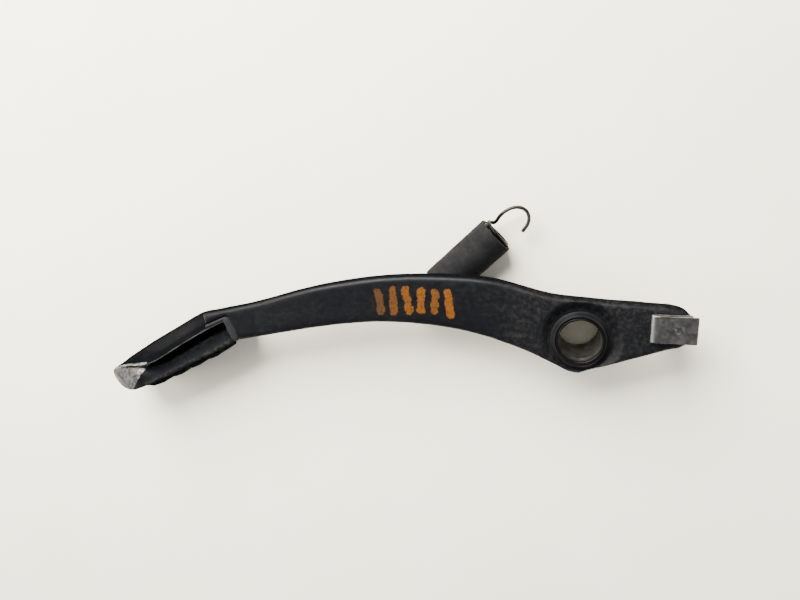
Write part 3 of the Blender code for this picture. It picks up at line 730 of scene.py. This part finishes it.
def pad_point(along, across, height=0.0):
    """World point from the pad's own directions: root to toe, and across it."""
    return PAD_ROOT + PAD_FORWARD * along + PAD_SIDEWAYS * across + Vector((0, 0, height))


def pad_widths(along):
    """Across-the-pad places of the rim, the upper wall and the lower wall."""
    place = along / MM
    for low, high in zip(PAD_CURVE, PAD_CURVE[1:]):
        if place <= high[0]:
            break
    share = (place - low[0]) / (high[0] - low[0])
    return [value * MM for value in low.lerp(high, share)[1:]]


def toe_closing(along, length):
    """From 1 where the toe's rounding starts to nearly 0 at its end, as a quarter of an ellipse."""
    share = max(0.0, (along - (PAD_TOE - length)) / length)
    return math.sqrt(max(1 - share ** 2, 0.02))


def dish_depth(along):
    """Depth of the dish: it starts in a short step near the root and fades out towards the toe."""
    return DISH_DEPTH * smoothstep(along, *DISH_STEP) * (1 - smoothstep(along, *DISH_FADE))


def pad_ring(along):
    """Smooth closed section: down the upper wall, under the floor, up the tread, back over the dish."""
    edge, wall, lower = pad_widths(along)
    toe = max(0.0, (along - (PAD_TOE - TOE_ROUND)) / TOE_ROUND)
    upper_closing = toe_closing(along, TOE_UPPER_ROUND)
    lower_closing = toe_closing(along, TOE_LOWER_ROUND)
    low = PAD_FLOOR + (1 - lower_closing) * 9 * MM
    high = PAD_RIM - TOE_RIM_DROP * toe ** 2 - (1 - lower_closing) * 1.5 * MM
    edge, wall = (TOE_CORE + (place - TOE_CORE) * upper_closing for place in (edge, wall))
    lower = TOE_CORE + (lower - TOE_CORE) * lower_closing
    width, depth = wall - lower, high - low
    upper_wall = [(edge, high - 0.4 * MM), (edge + 0.3 * (wall - edge), low + 0.66 * depth),
                  (edge + 0.8 * (wall - edge), low + 0.4 * depth), (wall, low + 0.23 * depth)]
    floor = [(wall - 0.05 * width, low + 0.09 * depth), (wall - 0.19 * width, low + 0.015 * depth),
             (wall - 0.5 * width, low), (lower + 0.25 * width, low + 0.025 * depth),
             (lower + 0.09 * width, low + 0.11 * depth)]
    tread = [(lower + 0.01 * width, low + 0.27 * depth), (lower, low + 0.5 * depth),
             (lower, high - 1.3 * MM), (lower + 0.4 * MM * lower_closing, high - 0.3 * MM)]
    near = lower + 1.1 * MM * lower_closing
    far = edge - 1.0 * MM * upper_closing
    dish = [(near + share * (far - near), high - drop * dish_depth(along)) for share, drop in DISH_PROFILE]
    shape = [*upper_wall, *floor, *tread, *dish, (edge - 0.5 * MM * upper_closing, high)]
    return smooth_loop([pad_point(along, across, height) for across, height in shape], 5)


def make_pad(look):
    """Dished foot pad with four saw teeth on its tread; the toe's paint is worn to the metal. The shaded dish
    is painted lighter as painted light, and the lower rim gets a painted highlight.
    """
    bm = bmesh.new()
    root = 0.4 * MM
    body_steps, toe_steps = 70, 30
    straight = [root + i * (PAD_TOE - TOE_ROUND - root) / body_steps for i in range(body_steps)]
    rounding = [PAD_TOE - TOE_ROUND * (1 - math.sin(math.radians(90 * i / toe_steps)))
                for i in range(toe_steps + 1)]
    add_rings(bm, [pad_ring(along) for along in straight + rounding])
    for i in range(TOOTH_COUNT):
        length = TOOTH_LENGTH if i < TOOTH_COUNT - 1 else TOE_TOOTH_LENGTH
        low = FIRST_TOOTH + i * TOOTH_PITCH
        tread = [pad_widths(place)[2] for place in (low, low + length)]
        tooth = [(low, tread[0] + 0.8 * MM), (low, tread[0] - 0.7 * TOOTH_HEIGHT),
                 (low + 0.12 * length, tread[0] - TOOTH_HEIGHT),
                 (low + 0.6 * length, tread[1] - 0.75 * TOOTH_HEIGHT),
                 (low + length, tread[1] + 0.8 * MM)]
        add_rings(bm, [[pad_point(*corner, level) for corner in tooth] for level in TOOTH_LEVELS])
    pad = object_from("foot_pad", bm)
    remeshed(pad, voxel=0.32 * MM, smoothing=4)

    points = points_of(pad.data)
    normals = points_of(pad.data, "normal")
    local = points - np.array(PAD_ROOT)
    along = local @ np.array(PAD_FORWARD)
    across = local @ np.array(PAD_SIDEWAYS)
    displace(pad, lumps(points, 9 * MM) * 0.08 * MM + lumps(points, 1.8 * MM) * 0.015 * MM)
    curve = np.array([(row[0], row[1], row[3]) for row in PAD_CURVE]) * MM
    ridge = np.interp(along, curve[:, 0], curve[:, 1])
    tread = np.interp(along, curve[:, 0], curve[:, 2])
    level = points[:, 2]
    # Along the ridge the edge wear is raised: partly real wear, partly a painted highlight along the ridge
    # line
    on_ridge = bell(across - ridge + 0.7 * MM, 0.9 * MM) * smoothstep(level, 20 * MM, 24 * MM)
    store(pad, "edge", convexity(pad.data, passes=2) + 0.5 * on_ridge)
    # Painted light: the dish below the ridge is painted lighter where it lies in shade, and the lower rim
    # gets a painted highlight; the small rest is real dust
    dish_painted_light = smoothstep(PAD_RIM - level, 2 * MM, 6 * MM) * smoothstep(ridge - across, 0.3 * MM, 1.0 * MM)
    lower_rim_painted_highlight = bell(across - tread - 0.8 * MM, 1.0 * MM) * smoothstep(level, 22 * MM, 25 * MM)
    store(pad, "dust_and_painted_light", 0.02 + 2.4 * dish_painted_light + 2.6 * lower_rim_painted_highlight)
    inner_side = smoothstep(ridge - across, -1.2 * MM, 0.2 * MM) * smoothstep(normals[:, 2], 0.0, 0.3)
    tip = smoothstep(along, 65 * MM, 70 * MM)
    bare = smoothstep(along + 1.45 * across, 38 * MM, 47 * MM) * np.maximum(inner_side, tip)
    rim_rub = on_ridge * smoothstep(along, 34 * MM, 52 * MM) * 0.7
    chip_place, chip_size = np.array([15.0, -1.6, 25.0]) * MM, 1.3 * MM
    chip = bell(np.linalg.norm(np.column_stack([along, across, level]) - chip_place, axis=1), chip_size)
    store(pad, "bare", np.clip(np.maximum(np.maximum(bare, rim_rub), 0.8 * chip), 0, 1))
    place_piece(pad, look, "lever", "pad_shell")


def make_pad_welds(look):
    """Flat bead on the seam of arm and pad with a run along the tongue, and a fillet behind it."""
    steps = 70
    top = ARM_HIGH.z - 0.25 * MM
    seam = [pad_point(-0.3 * MM, -11.4 * MM + 12.2 * MM * i / steps, top) for i in range(steps + 1)]
    tongue = [pad_point(-0.6 * MM + 11.8 * MM * i / steps, 0.25 * MM, top - 0.35 * MM)
              for i in range(steps + 1)]
    front = bead("pad_weld_bead", [(seam, 1.8 * MM, 0.36 * MM), (tongue, 0.85 * MM, 0.4 * MM)],
                 lambda p: Vector((0, 0, 1)))
    place_piece(front, look, "lever", "pad_weld_front")
    line = [pad_point(-0.5 * MM, -10.4 * MM + 14.5 * MM * i / steps, ARM_LOW.z - 0.6 * MM)
            for i in range(steps + 1)]
    back = bead("pad_weld_fillet", [(line, 1.9 * MM, 1.2 * MM)],
                lambda p: Vector((0, 0, -1)) - PAD_FORWARD)
    place_piece(back, look, "lever", "pad_weld_back")


# ---------------------------------------------------------------- return spring

def spring_point(along, aside=0.0, height=0.0):
    """World point from the spring's own line: along it, to its left, and up."""
    side = Vector((-SPRING_LINE.y, SPRING_LINE.x, 0))
    return POST + SPRING_LINE * along + side * aside + Vector((0, 0, height))


def make_spring(look):
    """Close-wound tension spring: hook round the post, coil, and an open hook."""
    # Every place below is in millimetres along the spring, to its left and up from the post's middle
    radius, turns, start, end = 6.3, 16 + 5 / 6, 12.5, 44.9
    hook_radius = 4.2
    hook = [(hook_radius * math.cos(a), hook_radius * math.sin(a), 0)
            for a in (math.radians(-60 - 11 * i) for i in range(19))]
    steps = 36
    total = round(turns * steps)
    coil = []
    for i in range(total + 1):
        angle = -math.pi / 2 - TURN * i / steps
        coil.append((start + (end - start) * i / total, radius * math.cos(angle), radius * math.sin(angle)))
    lead_in = smooth_curve([hook[-1], (2.8, 5.0, -0.6), (6.5, 5.6, -2.0), (10.2, 4.4, -4.3), coil[0]], 8)
    free_hook = smooth_curve([
        coil[-1], (46.1, 4.3, -3.6), (47.6, 4.4, -2.0), (49.6, 4.9, -0.6), (52.0, 5.0, 0),
        (54.8, 4.5, 0), (57.4, 3.3, 0), (59.3, 1.2, 0), (59.9, -1.4, 0), (58.8, -4.1, 0),
        (56.3, -5.9, 0), (52.5, -6.7, 0)], 8)
    path = hook[:-1] + lead_in[:-1] + coil[:-1] + free_hook
    points = [spring_point(*(value * MM for value in point)) for point in path]
    spring = wire("spring_wire", points, radius=0.8 * MM)
    reach = (points_of(spring.data) - np.array(POST)) @ np.array(SPRING_LINE)
    # Painted shade: the coil, inside the sleeve, is painted near black up to the start of the free hook
    store(spring, "coil", 1 - smoothstep(reach, 46.2 * MM, 47.5 * MM))
    place_piece(spring, look, "spring", "return_spring")


def make_sleeve(look):
    """Rubber tube over the coil, with soft lips and a slightly uneven skin."""
    bore, outer, start, end = 7.6 * MM, 8.75 * MM, 9.0 * MM, 43.4 * MM
    lip = 0.5 * MM
    steps = 46
    wall = [(outer, start + (end - start) * i / steps, 0) for i in range(2, steps - 1)]
    corners = [(bore, start, lip), (outer, start, lip), *wall, (outer, end, lip), (bore, end, lip)]
    sleeve = turned("rubber_sleeve", rounded(corners, 5), 120)
    across = Vector((0, 0, 1)).rotation_difference(SPRING_LINE).to_matrix().to_4x4()
    sleeve.data.transform(Matrix.Translation(POST) @ across)
    points = points_of(sleeve.data)
    displace(sleeve, lumps(points, 7 * MM) * 0.10 * MM)
    place_piece(sleeve, look, "sleeve", "spring_sleeve")


def make_post(paint, zinc):
    """Stud with a flange against the arm and a riveted end that holds the washer."""
    neck, stem, flange = 1.7 * MM, 2.8 * MM, 4.6 * MM
    rivet_top, neck_top, stem_top = 3.95 * MM, 5.9 * MM, 16.9 * MM
    top = ARM_LOW.z + 0.05 * MM
    to_post = Matrix.Translation((POST.x, POST.y, 0))
    profile = [(0, 2.8 * MM, 0), (2.5 * MM, 2.8 * MM, 0.5 * MM), (2.7 * MM, rivet_top, 0.3 * MM),
               (neck, rivet_top, 0), (neck, neck_top, 0), (stem, neck_top, 0.25 * MM),
               (stem, stem_top, 0.3 * MM), (flange, stem_top, 0.3 * MM), (flange, top, 0.1 * MM), (0, top, 0)]
    post = turned("spring_stud", rounded(profile), 96)
    post.data.transform(to_post)
    store(post, "edge", 0.3)
    store(post, "dust_and_painted_light", 0.5)
    place_piece(post, paint, "lever", "spring_post")
    outline = ring_outline(2.0 * MM, 5.2 * MM, 4.0 * MM, 5.5 * MM, 0.25 * MM)
    washer = turned("stud_washer", outline, 96)
    washer.data.transform(to_post)
    place_piece(washer, zinc, "lever", "post_washer")


# ---------------------------------------------------------------- rod eye

def make_pin(look):
    """Clevis pin with a domed head, a clip groove and turned ends."""
    low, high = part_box("rod_pin")
    head, shank, neck = 5.8 * MM, 4.0 * MM, 3.1 * MM
    shoulder, groove_low, groove_high = 7.8 * MM, 27.3 * MM, 28.8 * MM
    profile = [(0, low.z, 0), (5.0 * MM, low.z, 0.6 * MM), (head, low.z + 0.5 * MM, 0.4 * MM),
               (head, shoulder, 0.3 * MM), (shank, shoulder, 0.15 * MM), (shank, groove_low, 0.1 * MM),
               (neck, groove_low, 0.1 * MM), (neck, groove_high, 0.1 * MM), (shank, groove_high, 0.1 * MM),
               (shank, high.z, 0.3 * MM), (0, high.z, 0)]
    pin = turned("clevis_pin", rounded(profile), 96)
    pin.data.transform(Matrix.Translation((ROD_EYE.x, ROD_EYE.y, 0)))
    place_piece(pin, look, "pin", "rod_pin")


def make_clip(look):
    """Folded sheet clip: softened edges, a faint pressed mark, and a lighter fold painted as a highlight."""
    low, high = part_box("retaining_clip")
    clip = copy_of("folded_clip", "retaining_clip")
    remeshed(clip, voxel=0.17 * MM, smoothing=3)
    points = points_of(clip.data)
    normals = points_of(clip.data, "normal")
    from_mark = np.hypot(points[:, 0] - (ROD_EYE.x + 1.0 * MM), points[:, 1] - ROD_EYE.y)
    on_plate = smoothstep(points[:, 2], high.z - 1.2 * MM, high.z - 0.95 * MM)
    mark = bell(from_mark - 1.7 * MM, 0.6 * MM) * 0.08 - bell(from_mark, 1.0 * MM) * 0.14
    mark += lumps(points, 1.2 * MM) * 0.20 * bell(from_mark, 2.6 * MM)
    upward = np.where(normals[:, 2] > 0, 1.0, -1.0)
    displace(clip, on_plate * mark * upward * MM + lumps(points, 3 * MM) * 0.03 * MM)
    # Painted highlight: the fold is painted lighter where its bend catches the light
    store(clip, "fold", smoothstep(low.x + 2.4 * MM - points[:, 0], 0.0, 1.2 * MM))
    place_piece(clip, look, "clip", "retaining_clip")


# ---------------------------------------------------------------- stage

def make_stage():
    """Camera, a pale floor and soft light."""
    camera = bpy.data.objects.new("camera", bpy.data.cameras.new("camera"))
    bpy.context.scene.collection.objects.link(camera)
    forward = (CAMERA_AIM - CAMERA_PLACE).normalized()
    right = forward.cross(Vector((0, 1, 0))).normalized()
    up = right.cross(forward)
    turn = Matrix((right, up, -forward)).transposed().to_4x4()
    camera.matrix_world = Matrix.Translation(CAMERA_PLACE) @ turn
    camera.data.lens = CAMERA_LENS
    camera.data.sensor_width = CAMERA_SENSOR
    camera.data.clip_start = 10 * MM
    bpy.context.scene.camera = camera

    bm = bmesh.new()
    bmesh.ops.create_grid(bm, x_segments=2, y_segments=2, size=3.0)
    floor = object_from("floor", bm)
    look = Look("pale_floor", roughness=0.55)
    tone = look.mix(look.ramp(look.noise(60 * MM, 4), 0.3, 0.7), *FLOOR_TONES)
    look.put(look.shader.inputs["Base Color"], tone)
    floor.data.materials.append(look.material)

    world = bpy.data.worlds.new("studio")
    bpy.context.scene.world = world
    world.use_nodes = True
    backdrop = world.node_tree.nodes["Background"]
    backdrop.inputs["Color"].default_value = (0.93, 0.95, 1.0, 1)
    backdrop.inputs["Strength"].default_value = 0.5

    for name, place, size, power, colour in LAMPS:
        lamp = bpy.data.lights.new(name, "AREA")
        lamp.size = size
        lamp.energy = power
        lamp.color = colour
        light = bpy.data.objects.new(name, lamp)
        bpy.context.scene.collection.objects.link(light)
        light.location = place
        light.rotation_euler = (LAMP_AIM - light.location).to_track_quat("-Z", "Y").to_euler()


make_stage()
ARM_PAINT = paint_look("arm_black", marks=True, grain=2.0)
PAD_PAINT = paint_look("pad_black", bare=True, shine=PAD_SHINE)
PLAIN_PAINT = paint_look("boss_black", grain=2.0)
WELD = weld_look("weld_black")
make_arm(ARM_PAINT)
make_boss(PLAIN_PAINT)
make_boss_weld(WELD)
make_collar(steel_look("collar_greased", COLLAR_TONES, rough=(0.35, 0.55),
                       place="rim", painted_light_colour=COLLAR_RIM_SHADE))
make_bushes(steel_look("bush_bronze", BRONZE_TONES, rough=(0.3, 0.5)))
make_seals(rubber_look("seal_black", SEAL_RUBBER, SEAL_DUST, amount=0.4, rough=(0.45, 0.65)))
make_pad(PAD_PAINT)
make_pad_welds(WELD)
make_post(PLAIN_PAINT, steel_look("washer_zinc", WASHER_TONES, rust=0.4))
make_spring(steel_look("spring_dark", SPRING_TONES, rust=0.10, rough=(0.35, 0.55),
                       place="coil", painted_light_colour=SPRING_COIL_SHADE))
make_sleeve(rubber_look("sleeve_charcoal", SLEEVE_RUBBER, SLEEVE_DUST, amount=0.5))
make_pin(steel_look("pin_zinc", PIN_TONES, rust=0.2))
make_clip(steel_look("clip_bright", CLIP_TONES, rust=0.10, rough=(0.28, 0.42), grain=0.35 * MM,
                     stretch=(7, 0.5, 1), place="fold", painted_light_colour=CLIP_FOLD_HIGHLIGHT))
